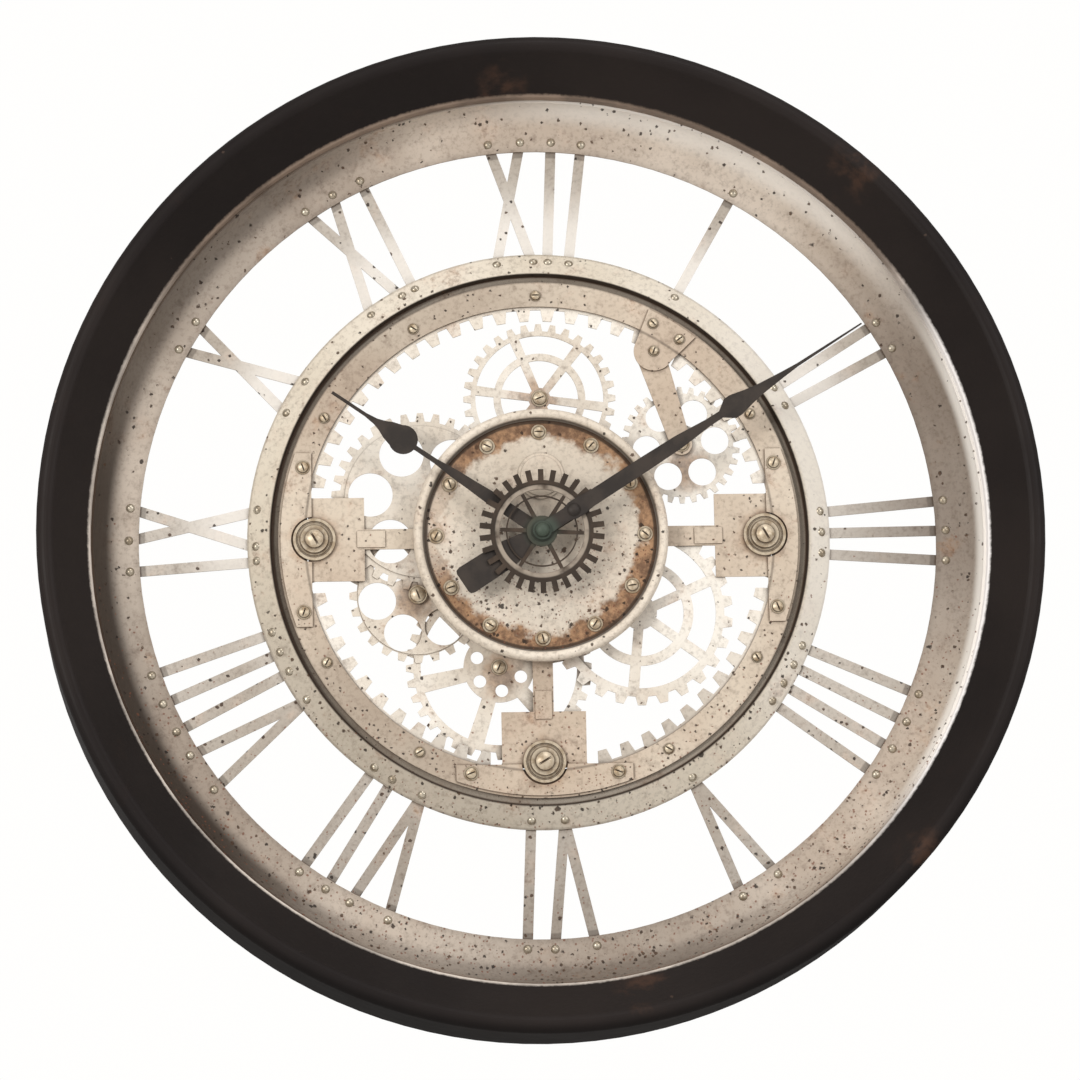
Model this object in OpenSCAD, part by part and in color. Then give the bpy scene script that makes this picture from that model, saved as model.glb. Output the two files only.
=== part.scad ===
// Large open-dial wall clock with a fixed display of gear plates behind the hands.
// Lengths are millimetres and angles are degrees. The wall is the plane y = 0, the
// clock's front faces -Y, +Z is up, and the hands turn about the Y axis.
// Inside the modules a part is drawn as seen from the front: x to the right, y up, and
// z the height above the wall. on_wall() turns that drawing to stand on the wall.

/* [Rim] */
// Outside diameter of the rim at the wall
rim_d = 823; // [818:1:828]
// How much smaller the radius is at the front edge
rim_taper = 4.5; // [3:0.5:7]
// Depth of the rim from the wall to its front edge
rim_depth = 106; // [102:1:110]
// Radius of the opening inside the rim's lip
lip_r = 366; // [365:0.5:368]
// Height of the lip above the wall
lip_z = 64; // [62:1:68]
// Radius of the rounded front edge
rim_round = 8; // [6:0.5:9]
// Thickness of the sheet metal of the rim, dial and gear frame
skin = 2; // [1.8:0.1:2.2]

/* [Dial] */
// Radius of the open window inside the dial's flat ring
window_r = 328.5; // [326:0.5:331]
// Height of the flat ring's front face above the wall
dial_z = 30; // [29:0.5:32]
// Radius at which the flat ring starts to curve up to the rim
cove_r = 345; // [344:0.5:347]
// Outer radius of the chapter ring
chapter_r = 240; // [238:0.5:242]
// Radius of the chapter ring's raised inner edge
chapter_in_r = 221; // [220:0.5:222]
// Height of that edge above the chapter ring's outer edge
chapter_rise = 11; // [9:0.5:12]
// Width of a numeral's bars
bar_w = 8.5; // [6:0.1:9]
// Angle between two neighbouring I bars
pitch_i = 4.3; // [4:0.1:4.6]
// Angle between a V or X and its neighbour
pitch_vx = 6.7; // [6.4:0.1:7]
// Radius of the rivets on the flat ring
outer_rivet_r = 336.5; // [334:0.5:337]
// Radius of the rivets on the chapter ring
inner_rivet_r = 233; // [231:0.5:233.5]
// Radius of a rivet's domed head
rivet_head_r = 3.6; // [3:0.1:4]

/* [Gear frame] */
// Outer radius of the frame ring
frame_r = 214.6; // [214:0.1:215]
// Inner radius of the frame ring
frame_in_r = 194; // [193:0.5:195]
// Teeth inside the toothed ring
ring_teeth = 60; // [48:2:66]
// Radius at the roots of those teeth
ring_root_r = 191.5; // [190:0.5:192]
// Radius at the tips of those teeth
ring_tip_r = 182; // [181.5:0.5:184]
// Radius of the frame's screw circle
screw_r = 203; // [202:0.5:204]
// Distance of a side plate's straight edge from the axis
side_edge = 187; // [186:0.5:188]
// Distance of the three pivot bolts from the axis
pivot_r = 185; // [184:0.5:185.5]

/* [Display gears] */
// Distance of the top gear from the axis
top_dist = 117; // [116:0.5:118]
// Clock angle of the top gear
top_at = 1; // [0:0.5:2]
// Tip radius of the top gear
top_tip = 63; // [60:0.5:64]
// Distance of the upper left gear from the axis
upper_left_dist = 102; // [101:0.5:103]
// Clock angle of the upper left gear
upper_left_at = 288; // [287:0.5:289]
// Tip radius of the upper left gear
upper_left_tip = 74; // [72:0.5:75]
// Distance of the lower left gear from the axis
lower_left_dist = 111; // [110:0.5:112]
// Clock angle of the lower left gear
lower_left_at = 245.5; // [245:0.5:246]
// Tip radius of the lower left gear
lower_left_tip = 56; // [54:0.5:57]
// Distance of the bottom gear from the axis
bottom_dist = 112; // [111:0.5:113]
// Clock angle of the bottom gear
bottom_at = 198.5; // [198:0.5:199]
// Tip radius of the bottom gear
bottom_tip = 76; // [74:0.5:77]
// Distance of the lower right gear from the axis
lower_right_dist = 102.5; // [101.5:0.5:103]
// Clock angle of the lower right gear
lower_right_at = 128; // [127:0.5:129]
// Tip radius of the lower right gear
lower_right_tip = 76.5; // [74:0.5:77]
// Distance of the upper right gear from the axis
upper_right_dist = 141; // [140:0.5:142]
// Clock angle of the upper right gear
upper_right_at = 57; // [56:0.5:58]
// Tip radius of the upper right gear
upper_right_tip = 49; // [47:0.5:50]

/* [Centre] */
// Outer radius of the centre pan's wall
pan_r = 98; // [97:0.5:98.5]
// Height of the centre pan's front face above the wall
pan_z = 50; // [49:0.5:51]
// Outer radius of the bezel round the centre pan
bezel_r = 104.5; // [103:0.5:106]
// Inner radius of the bezel
bezel_in_r = 95.3; // [94:0.1:95.8]
// Radius of the circle of centre screws
centre_screw_r = 85.5; // [84:0.5:87]

/* [Hands] */
// Length of the minute hand from the axis to its tip
minute_len = 316; // [300:1:320]
// Length of the hour hand from the axis to its tip
hour_len = 206; // [195:1:210]
// Thickness of a hand
hand_t = 1.5; // [1:0.1:1.8]
// Clock angle of the minute hand at rest
minute_at = 57.5; // [0:0.5:359.5]
// Hour that the hour hand has passed at rest
hour_now = 10; // [0:1:11]
// Tip radius of the spoked gear that carries the minute hand
hub_gear_tip = 51; // [48:0.5:52]
// Teeth of the spoked gear
hub_gear_teeth = 30; // [24:1:36]

/* [Movement] */
// Width and height of the movement's case
case_w = 56; // [55:0.5:57]
// Depth of the movement's case
case_d = 16; // [15.5:0.5:16]
// Radial gap between a turning shaft and its bearing
running_gap = 0.05; // [0.02:0.01:0.09]
// Distance from the axis to the minute wheel and from there to the knob
motion_dist = 7.5; // [7.5:0.1:7.5]
// Distance from the axis to the intermediate wheel
train_dist = 9; // [9:0.1:9]

/* [Hidden] */
$fn = 96;

paint_dark = [0.16, 0.14, 0.13];
paint_cream = [0.84, 0.78, 0.70];
paint_bar = [0.72, 0.69, 0.64];
steel = [0.60, 0.57, 0.52];
bronze = [0.25, 0.22, 0.20];
brass = [0.80, 0.66, 0.36];
black_plastic = [0.10, 0.10, 0.11];
white_plastic = [0.90, 0.90, 0.88];

// Heights above the wall of the stacked sheets
dial_back = dial_z - skin;
flange_z = dial_z + skin;
level_low = flange_z - skin;
level_mid = flange_z;
level_top = flange_z + skin;
ring_z = flange_z + skin;
frame_z = ring_z + skin;
plate_z = frame_z + skin;
pan_back = pan_z - skin;
hour_angle = 30 * hour_now + minute_at / 12;
hour_hand_z = pan_z + 14;
tail_z = hour_hand_z + hand_t + 0.8;
hub_gear_z = tail_z + hand_t;
hub_gear_floor = 1.4;
hub_boss_h = 3.4;
minute_hand_z = hub_gear_z + hub_boss_h;
hand_dome_at = 31;
cove_rise = lip_z - 10 - dial_z;

// Numerals: each letter's offset from its group's start, and each group's shift
NUMERALS = ["I", "II", "III", "IIII", "V", "VI", "VII", "VIII", "IX", "X", "XI", "XII"];
GROUP_SHIFT = [0, -0.1, -0.6, -0.3, -1.2, -2, -0.5, 2, 0.5, 1.1, 0.2, 0.4];
v_half = 2.9;
x_half_out = 2.3;
x_half_in = 3.75;
bar_from = chapter_r - 12;
bar_to = window_r + 13;

// Screws of the frame ring, by clock angle
RING_SCREWS = [0, 60, 120, 150, 210, 240, 300, 330];
SIDES = [90, 180, 270];
side_screw_a = 17.2;
TAB_SCREWS = [28.6, 35.8];
tab_dist = 183;
tab_at = 32.1;
tab_arm_dist = 179;

// Movement heights and shafts
case_back = pan_back - 1 - case_d;
case_front = pan_back - 1;
case_wall = 1.5;
cover_front = case_back + case_wall;
inner_front = case_front - case_wall;
rib_y = -10;
arbor_r = 1;
hour_tube_r = 2.4;
bushing_r = 4;
minute_wheel_at = 60;
knob_from_wheel = minute_wheel_at + 180 + 5 + 150;
train_at = 290;
rotor_from_wheel = 350;
rotor_dist = 6.8;
cell_r = 7;
cell_y = -18.6;
cell_z = case_back + 7.4;

// ---- Helpers ----

function clock(r, a) = [r * sin(a), r * cos(a)];
function gap_after(c, d) = (c == "I" && d == "I") ? pitch_i : pitch_vx;
function letter_at(s, k) = k == 0 ? 0 : letter_at(s, k - 1) + gap_after(s[k - 1], s[k]);
function half_out(c) = c == "V" ? v_half : c == "X" ? x_half_out : 0;
function group_mid(s) = (letter_at(s, len(s) - 1) + half_out(s[len(s) - 1]) - half_out(s[0])) / 2;
// Strokes of numeral h as [outer angle, inner angle]
function letter_strokes(c, a) = c == "I" ? [[a, a]]
    : c == "V" ? [[a - v_half, a], [a + v_half, a]]
    : [[a - x_half_out, a + x_half_in], [a + x_half_out, a - x_half_in]];
function strokes(h) = let (s = NUMERALS[h - 1], a0 = 30 * h + GROUP_SHIFT[h - 1] - group_mid(s))
    [for (k = [0:len(s) - 1]) each letter_strokes(s[k], a0 + letter_at(s, k))];
// Inner rivets of numeral h: one for each stroke, but one only where a V's bars meet
function inner_angles(h) = let (s = strokes(h))
    [for (k = [0:len(s) - 1]) if (k == 0 || s[k][1] != s[k - 1][1]) s[k][1]];

function arc_pts(cx, cy, r, a0, a1, n) =
    [for (k = [0:n]) let (a = a0 + (a1 - a0) * k / n) [cx + r * cos(a), cy + r * sin(a)]];
// Outline of n straight-sided teeth; tip and foot are parts of the tooth pitch
function teeth_pts(n, r_tip, r_root, tip, foot, phase = 0) =
    [for (k = [0:n - 1]) let (p = 360 / n, a = phase + p * k)
        each [clock(r_root, a - p * foot / 2), clock(r_tip, a - p * tip / 2),
              clock(r_tip, a + p * tip / 2), clock(r_root, a + p * foot / 2)]];

module on_wall() { rotate([90, 0, 0]) children(); }
module at_clock(r, a) { translate([r * sin(a), r * cos(a), 0]) children(); }
module sheet(z, t = skin) { translate([0, 0, z]) linear_extrude(t) children(); }
module ring2d(r_out, r_in) { difference() { circle(r_out); circle(r_in); } }
module turned(points) { rotate_extrude($fn = 180) polygon(points); }
module rod(r, z0, z1) { translate([0, 0, z0]) cylinder(r = r, h = z1 - z0); }

// ---- Fasteners ----

// Slotted round-head screw on a washer; z is the face it sits on, bottom its nut's face
module slotted_screw(z, bottom, head_r = 4.2, washer_r = 5.8, slot_a = 0) {
    shank_r = 1.9;
    washer_t = 0.8;
    head_h = 2.8;
    slot_w = 1.2;
    nut_h = 2;
    difference() {
        union() {
            rod(washer_r, z, z + washer_t);
            translate([0, 0, z + washer_t]) intersection() {
                cylinder(r = head_r, h = head_h);
                translate([0, 0, head_h - 1.6 * head_r]) sphere(r = 1.6 * head_r);
            }
            rod(shank_r, bottom - nut_h, z + washer_t);
            translate([0, 0, bottom - nut_h]) cylinder(r = 3.8, h = nut_h, $fn = 6);
        }
        rotate([0, 0, slot_a]) translate([-head_r - 1, -slot_w / 2, z + washer_t + head_h - 1.3])
            cube([2 * head_r + 2, slot_w, 2]);
    }
}

// Domed rivet through a thickness t below z = 0
module rivet(t) {
    head_h = 2.2;
    shank_r = 1.4;
    ball_r = (rivet_head_r * rivet_head_r + head_h * head_h) / (2 * head_h);
    intersection() {
        translate([0, 0, head_h - ball_r]) sphere(r = ball_r);
        cylinder(r = rivet_head_r, h = head_h);
    }
    translate([0, 0, -t - 0.6]) cylinder(r = shank_r, h = t + 0.6);
    translate([0, 0, -t - 0.8]) cylinder(r = 2.2, h = 0.8);
}

// Where the chapter ring's slope puts an inner rivet
cone_a = atan(chapter_rise / (chapter_r - chapter_in_r));
module on_cone(a) {
    rise = (chapter_r - inner_rivet_r) * tan(cone_a);
    rotate([0, 0, -a]) translate([0, inner_rivet_r, dial_z + rise]) rotate([-cone_a, 0, 0]) children();
}

// ---- Rim and dial ----

module outer_rim() {
    r = rim_d / 2;
    cx = r - rim_taper - rim_round;
    cz = rim_depth - rim_round;
    back_r = r - 20;
    face_a = 133;
    outside = concat([[back_r, 0], [r, 0]], arc_pts(cx, cz, rim_round, 0, face_a, 10),
        [[lip_r, lip_z], [lip_r, lip_z - 10]]);
    inside = concat([[lip_r + skin, lip_z - 10], [lip_r + skin, lip_z - 0.8]],
        arc_pts(cx, cz, rim_round - skin, face_a, 0, 10), [[r - skin, skin], [back_r, skin]]);
    color(paint_dark) on_wall() turned(concat(outside, inside));
}

module dial_pan() {
    n = 12;
    flange_r = lip_r + 6;
    cove_w = lip_r - 2 - cove_r;
    top = [for (k = [0:n]) let (a = 90 * k / n)
        [cove_r + cove_w * sin(a), dial_z + cove_rise * (1 - cos(a))]];
    under = [for (k = [n:-1:0]) let (a = 90 * k / n)
        [cove_r + (cove_w + skin) * sin(a), dial_back + cove_rise * (1 - cos(a))]];
    rim_z = dial_z + cove_rise;
    color(paint_cream) on_wall() difference() {
        turned(concat([[window_r, dial_z]], top, [[flange_r, rim_z], [flange_r, rim_z - skin]],
            under, [[window_r, dial_back]]));
        for (h = [1:12], s = strokes(h)) at_clock(outer_rivet_r, s[0]) rod(1.5, dial_back - 1, dial_z + 1);
    }
}

module chapter_ring() {
    top_z = dial_z + chapter_rise;
    drop_r = chapter_in_r - 1;
    flange_in_r = 199;
    profile = [[chapter_r, dial_back], [chapter_r, dial_z], [chapter_in_r, top_z],
        [drop_r, ring_z], [flange_in_r, ring_z], [flange_in_r, flange_z], [drop_r + 2, flange_z],
        [chapter_in_r + 1.6, top_z - 2.9], [chapter_r - 4.5, dial_z], [chapter_r - 14, dial_z],
        [chapter_r - 14, dial_back]];
    color(paint_cream) on_wall() difference() {
        turned(profile);
        for (h = [1:12], a = inner_angles(h)) on_cone(a) rod(1.5, -4, 1);
        frame_holes(flange_z);
    }
}

module bar(s) {
    p = clock(outer_rivet_r, s[0]);
    q = clock(inner_rivet_r, s[1]);
    d = q - p;
    u = d / norm(d);
    side = [-u[1], u[0]] * bar_w / 2;
    far = p - u * (bar_to - outer_rivet_r);
    near = q + u * (inner_rivet_r - bar_from);
    polygon([far + side, near + side, near - side, far - side]);
}

module numeral(h) {
    color(paint_bar) on_wall() difference() {
        sheet(dial_back - skin) for (s = strokes(h)) bar(s);
        for (s = strokes(h)) at_clock(outer_rivet_r, s[0]) rod(1.5, dial_back - skin - 1, dial_back + 1);
    }
}

module outer_rivets() {
    color(steel) on_wall() for (h = [1:12], s = strokes(h))
        at_clock(outer_rivet_r, s[0]) translate([0, 0, dial_z]) rivet(2 * skin);
}

module inner_rivets() {
    color(steel) on_wall() for (h = [1:12], a = inner_angles(h)) on_cone(a) rivet(skin + 0.3);
}

// ---- Gear frame ----

module frame_holes(z) {
    for (a = concat(RING_SCREWS, TAB_SCREWS)) at_clock(screw_r, a) rod(2, z - 1, z + skin + 1);
    for (b = SIDES, s = [-1, 1]) at_clock(screw_r, b + s * side_screw_a) rod(2, z - 1, z + skin + 1);
}

module frame_ring() {
    color(paint_cream) on_wall() difference() {
        sheet(frame_z) ring2d(frame_r, frame_in_r);
        frame_holes(frame_z);
    }
}

module toothed_ring() {
    color(paint_cream) on_wall() difference() {
        sheet(ring_z) difference() {
            circle(frame_r - 1.5);
            polygon(teeth_pts(ring_teeth, ring_root_r, ring_tip_r, 0.42, 0.62));
        }
        frame_holes(ring_z);
    }
}

module frame_screws() {
    nut_face = flange_z;
    color(steel) on_wall() {
        for (a = RING_SCREWS)
            at_clock(screw_r, a) slotted_screw(plate_z, nut_face, 3.4, 4.5, 37 * a);
        for (b = SIDES, s = [-1, 1]) at_clock(screw_r, b + s * side_screw_a)
            slotted_screw(plate_z + skin, nut_face, slot_a = 53 * b + 20 * s);
        for (a = TAB_SCREWS)
            at_clock(screw_r, a) slotted_screw(plate_z + skin, nut_face, 3.4, 4.5, 11 * a);
        at_clock(tab_dist, tab_at) slotted_screw(plate_z + skin, plate_z, 3.4, 4.6, 70);
    }
}

// Plate with one straight edge, lying on the frame ring at each of three sides
module side_plates() {
    half_len = 72;
    notch_r = 19;
    color(paint_cream) on_wall() for (b = SIDES) rotate([0, 0, -b]) difference() {
        sheet(plate_z) intersection() {
            circle(frame_r - 2);
            translate([-half_len, side_edge]) square([2 * half_len, 40]);
        }
        at_clock(pivot_r, 0) rod(notch_r, plate_z - 1, plate_z + skin + 1);
        for (s = [-1, 1]) at_clock(screw_r, s * side_screw_a) rod(2, plate_z - 1, plate_z + skin + 1);
    }
}

// Block and arm that carry the centre pan from one side of the frame
module bridge(b) {
    block_in = 144;
    block_out = 190;
    block_half = 34.5;
    arm_half = 8.3;
    arm_in = 88;
    tongue_in = 127;
    color(paint_cream) on_wall() rotate([0, 0, -b]) difference() {
        union() {
            sheet(frame_z) {
                translate([-block_half, block_in]) square([2 * block_half, block_out - block_in]);
                translate([-arm_half, arm_in]) square([2 * arm_half, block_in - arm_in + 1]);
            }
            sheet(plate_z, 1.2) translate([-arm_half + 1.5, tongue_in])
                square([2 * arm_half - 3, block_in + 6 - tongue_in]);
        }
        at_clock(pivot_r, 0) rod(3, frame_z - 1, plate_z + 1);
    }
}

// Slotted bolt on two stacked washers at each bridge
module pivot_bolts() {
    wide_t = 3;
    small_t = 2.5;
    color(steel) on_wall() for (b = SIDES) at_clock(pivot_r, b) {
        difference() {
            rod(17.4, plate_z, plate_z + wide_t);
            rod(3, plate_z - 1, plate_z + wide_t + 1);
            translate([0, 0, plate_z + wide_t - 0.9]) linear_extrude(2) ring2d(15.2, 13.4);
        }
        difference() {
            rod(11.3, plate_z + wide_t, plate_z + wide_t + small_t);
            rod(3, plate_z, plate_z + 10);
        }
        difference() {
            union() {
                rod(2.9, frame_z, plate_z + wide_t + small_t);
                translate([0, 0, plate_z + wide_t + small_t]) intersection() {
                    cylinder(r = 7.4, h = 5);
                    translate([0, 0, -6.6]) sphere(r = 11.6);
                }
            }
            rotate([0, 0, 30 + b]) translate([-8, -0.9, plate_z + wide_t + small_t + 3.2]) cube([16, 1.8, 3]);
        }
    }
}

// Plate on the frame ring whose rounded end holds the tab arm
module tab_plate() {
    end_r = 16.5;
    from_a = 25.6;
    to_a = 39.6;
    end = clock(tab_dist, tab_at);
    out = clock(end_r, tab_at + 90);
    color(paint_cream) on_wall() difference() {
        sheet(plate_z) {
            intersection() {
                circle(frame_r - 2);
                polygon([end - out, clock(250, from_a), clock(250, to_a), end + out]);
            }
            translate(end) circle(end_r);
        }
        for (a = TAB_SCREWS) at_clock(screw_r, a) rod(2, plate_z - 1, plate_z + skin + 1);
        at_clock(tab_dist, tab_at) rod(2, plate_z - 1, plate_z + skin + 1);
    }
}

module tab_arm() {
    wide = 12.5;
    narrow = 9;
    edge_wide = wide - 0.5;
    edge_narrow = narrow - 0.5;
    p = clock(tab_arm_dist, tab_at);
    q = clock(upper_right_dist, upper_right_at);
    u = (q - p) / norm(q - p);
    side = [-u[1], u[0]];
    color(paint_cream) on_wall() difference() {
        sheet(frame_z) {
            translate(p) circle(wide);
            translate(q) circle(narrow);
            polygon([p + side * edge_wide, q + side * edge_narrow,
                q - side * edge_narrow, p - side * edge_wide]);
        }
        at_clock(tab_dist, tab_at) rod(4.2, frame_z - 1, plate_z + 1);
        translate(q) rod(2, frame_z - 1, plate_z + 1);
    }
}

// ---- Display gears ----

module spokes2d(n, w_out, w_in, r, phase) {
    for (k = [0:n - 1]) rotate([0, 0, -phase - 360 * k / n])
        polygon([[-w_in / 2, 0], [w_in / 2, 0], [w_out / 2, r], [-w_out / 2, r]]);
}

// Ring of open windows between two radii, with the spokes left standing
module windows2d(r_out, r_in, n, w_out, w_in, phase) {
    difference() {
        ring2d(r_out, r_in);
        spokes2d(n, w_out, w_in, r_out + 1, phase);
    }
}

module toothed2d(n, tip_r, depth, phase = 0) {
    polygon(teeth_pts(n, tip_r, tip_r - depth, 0.36, 0.62, phase));
}

module top_gear() {
    color(paint_cream) on_wall() at_clock(top_dist, top_at) difference() {
        sheet(level_mid) difference() {
            toothed2d(32, top_tip, 6);
            windows2d(top_tip - 10, 38, 6, 8, 6, 38);
            windows2d(32, 9, 6, 7, 6, 38);
        }
        rod(2, level_mid - 1, level_top + 1);
    }
}

// Gear plate with a thinner toothed edge and a ring of round holes
module holed_gear(z, teeth, tip_r, depth, step_r, holes_r, hole_r, phase) {
    difference() {
        union() {
            sheet(z, skin / 2) toothed2d(teeth, tip_r, depth);
            sheet(z + skin / 2, skin / 2) circle(step_r);
        }
        for (k = [0:5]) at_clock(holes_r, phase + 60 * k) rod(hole_r, z - 1, z + skin + 1);
    }
}

// Room for the movement's case, cut out of the gears that pass it
module case_clearance() {
    w = case_w + 4;
    translate([-w / 2, -w / 2, level_low]) cube([w, w, 20]);
}

module upper_left_gear() {
    color(paint_cream) on_wall() difference() {
        at_clock(upper_left_dist, upper_left_at)
            holed_gear(level_top, 34, upper_left_tip, 7, upper_left_tip - 11, 42, 18.2, 38);
        case_clearance();
    }
}

module lower_left_gear() {
    color(paint_cream) on_wall() at_clock(lower_left_dist, lower_left_at) difference() {
        holed_gear(level_mid, 24, lower_left_tip, 6, lower_left_tip - 7, 33.5, 15.4, 22);
        rod(2, level_mid - 1, level_top + 1);
    }
}

module bottom_gear() {
    color(paint_cream) on_wall() at_clock(bottom_dist, bottom_at) difference() {
        sheet(level_low) difference() {
            toothed2d(36, bottom_tip, 6);
            windows2d(bottom_tip - 12, 29, 6, 14, 10, 18);
            for (k = [0:5]) at_clock(19.5, 54 + 60 * k) circle(5.2);
        }
        rod(2, level_low - 1, level_mid + 1);
    }
}

module lower_right_gear() {
    color(paint_cream) on_wall() difference() {
        at_clock(lower_right_dist, lower_right_at) sheet(level_top) difference() {
            toothed2d(26, lower_right_tip, 7);
            windows2d(lower_right_tip - 14, 44, 6, 9, 8, 6);
            windows2d(36, 14, 6, 8, 8, 6);
        }
        case_clearance();
    }
}

module upper_right_gear() {
    color(paint_cream) on_wall() at_clock(upper_right_dist, upper_right_at) difference() {
        sheet(level_mid) difference() {
            toothed2d(30, upper_right_tip, 5.5);
            for (k = [0:5]) at_clock(28.5, 23 + 60 * k) circle(11.5);
        }
        rod(2, level_mid - 1, level_top + 1);
    }
}

// Pivot screws of the display gears, and the pillars that hold them to the centre pan
module gear_screws() {
    pillar_dist = 92;
    pillar_r = 2.5;
    color(steel) on_wall() {
        at_clock(top_dist, top_at) slotted_screw(level_top, level_mid, 5.2, 6.8, 20);
        at_clock(bottom_dist, bottom_at) slotted_screw(level_mid, level_low, 5, 6.5, 65);
        at_clock(lower_left_dist, lower_left_at) {
            difference() {
                rod(3, level_top, frame_z + 0.6);
                rod(1.9, level_mid, frame_z + 1);
            }
            slotted_screw(frame_z + 0.6, level_mid, 6, 7.6, 110);
        }
        at_clock(upper_right_dist, upper_right_at) {
            difference() {
                rod(5, level_top, frame_z);
                rod(1.9, level_mid, frame_z + 1);
            }
            slotted_screw(plate_z, level_mid, 5, 6.5, 40);
        }
        at_clock(pillar_dist, top_at + 7) rod(pillar_r, level_top, plate_z);
        at_clock(pillar_dist, lower_right_at) rod(pillar_r, frame_z, plate_z);
        at_clock(pillar_dist, bottom_at) rod(pillar_r, level_mid, plate_z);
    }
}

// ---- Centre ----

module centre_pan() {
    flange_in = 84;
    color(paint_cream) on_wall() difference() {
        turned([[0, pan_z], [pan_r, pan_z], [pan_r, plate_z], [flange_in, plate_z],
            [flange_in, plate_z + 1.5], [pan_r - skin, plate_z + 1.5],
            [pan_r - skin, pan_back], [0, pan_back]]);
        rod(bushing_r, pan_back - 1, pan_z + 1);
        for (k = [0:11]) at_clock(centre_screw_r, 30 * k) rod(2, pan_back - 1, pan_z + 1);
    }
}

module centre_bezel() {
    w = bezel_r - bezel_in_r;
    top_z = pan_z + 7.5;
    dome = [for (k = [0:12]) let (a = 15 * k) [bezel_in_r + 1 + (w - 1) * (1 + cos(a)) / 2,
        pan_z + 2 + (top_z - pan_z - 2) * sin(a)]];
    color(paint_cream) on_wall() turned(concat([[bezel_r, pan_z]], dome,
        [[bezel_in_r, pan_z + 1.6], [bezel_in_r, pan_z]]));
}

module centre_screws() {
    color(steel) on_wall() for (k = [0:11])
        at_clock(centre_screw_r, 30 * k) slotted_screw(pan_z, pan_back, 4.3, 6.3, 47 * k);
}

module boss_plate() {
    color(paint_cream) on_wall() translate([1, 49, 0]) {
        rod(19, pan_z, pan_z + 1);
        rod(16.5, pan_z + 1, pan_z + 1.8);
    }
}

// ---- Hands ----

// Draws a hand along +Y, then turns it to its clock angle
module hand_plate(z, a) { on_wall() rotate([0, 0, -a]) sheet(z, hand_t) children(); }
function mirrored(right) = concat(right, [for (k = [len(right) - 1:-1:0]) [-right[k][0], right[k][1]]]);

module hour_hand() {
    drop_r = 12;
    drop_y = 136;
    shaft = [[5.6, 0], [5.3, 52], [4.4, 68], [3.7, 86], [2, 104], [1.9, drop_y - drop_r - 1]];
    drop = concat(arc_pts(0, drop_y, drop_r, -80, 36, 10), [[7.6, drop_y + 14.5],
        [4.7, drop_y + 20.5], [2.6, drop_y + 27], [1.4, drop_y + 37], [1.2, hour_len]]);
    color(bronze) difference() {
        hand_plate(hour_hand_z, hour_angle) {
            polygon(mirrored(concat(shaft, drop)));
            circle(11);
        }
        on_wall() rod(hour_tube_r, hour_hand_z - 1, hub_gear_z + 1);
    }
}

// Spoked gear on the minute arbor, in front of the hour hand
module hub_gear() {
    root_r = 42;
    ring_in = 34.5;
    tooth_w = 4.4;
    tooth_turn = 2.3;
    phase = 33 - 57.5;
    color(bronze) on_wall() rotate([0, 0, -minute_at]) difference() {
        union() {
            sheet(hub_gear_z, 2.4) {
                ring2d(root_r, root_r - 3);
                for (k = [0:hub_gear_teeth - 1]) rotate([0, 0, -tooth_turn - 360 * k / hub_gear_teeth])
                    translate([-tooth_w / 2, root_r - 1]) square([tooth_w, hub_gear_tip - root_r + 1]);
            }
            sheet(hub_gear_z, hub_gear_floor) {
                ring2d(root_r - 1, ring_in);
                ring2d(29.4, 28.2);
                spokes2d(6, 2.8, 4, ring_in + 1, phase);
                spokes2d(1, 12.5, 12, ring_in + 1, 0);
            }
            rod(12.6, hub_gear_z, hub_gear_z + 2.2);
            rod(8.6, hub_gear_z, hub_gear_z + hub_boss_h);
            at_clock(hand_dome_at, 0) rod(4.2, hub_gear_z, hub_gear_z + hub_boss_h);
        }
        rod(arbor_r, hub_gear_z - 1, hub_gear_z + 8);
    }
}

// Pointer on the gear's hub and rim, with a long six-sided swelling
module minute_hand() {
    right = [[5.6, 0], [5.6, 24], [7.4, 30], [7.4, 38], [6.3, 46], [6.2, 100], [5.6, 134],
        [3.2, 163], [3, 176], [9.4, 185], [9.4, 191], [6.6, 203], [4.5, 215], [2.4, 237],
        [1.3, 252], [0.6, minute_len]];
    dome_r = 5.6;
    dome_h = 2.6;
    ball_r = (dome_r * dome_r + dome_h * dome_h) / (2 * dome_h);
    top_z = minute_hand_z + hand_t;
    color(bronze) difference() {
        union() {
            hand_plate(minute_hand_z, minute_at) {
                polygon(mirrored(right));
                circle(8);
            }
            on_wall() at_clock(hand_dome_at, minute_at) translate([0, 0, top_z]) intersection() {
                translate([0, 0, dome_h - ball_r]) sphere(r = ball_r);
                translate([0, 0, -hand_t / 2]) cylinder(r = dome_r, h = dome_h + hand_t);
            }
        }
        on_wall() rod(arbor_r, minute_hand_z - 1, top_z + 1);
    }
}

// Flared counterweight behind the gear
module hand_tail() {
    color(bronze) hand_plate(tail_z, minute_at + 180)
        polygon(mirrored([[7, 10], [11.4, 34], [12, 73], [10.9, 76.2], [8.5, 77.2]]));
}

// Domed nut on the end of the minute arbor
module hand_nut() {
    z = minute_hand_z + hand_t;
    h = 6.4;
    color(bronze) on_wall() difference() {
        union() {
            rod(7.6, z, z + 1.4);
            translate([0, 0, z + 1.4]) intersection() {
                cylinder(r = 5.6, h = h);
                translate([0, 0, -1]) sphere(r = h + 0.4);
            }
        }
        rod(arbor_r, z - 1, z + 4);
    }
}

// ---- Movement ----

module case_block(y0, y1, z0, z1, inset) {
    translate([-case_w / 2 + inset, y0, z0]) cube([case_w - 2 * inset, y1 - y0, z1 - z0]);
}

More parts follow.
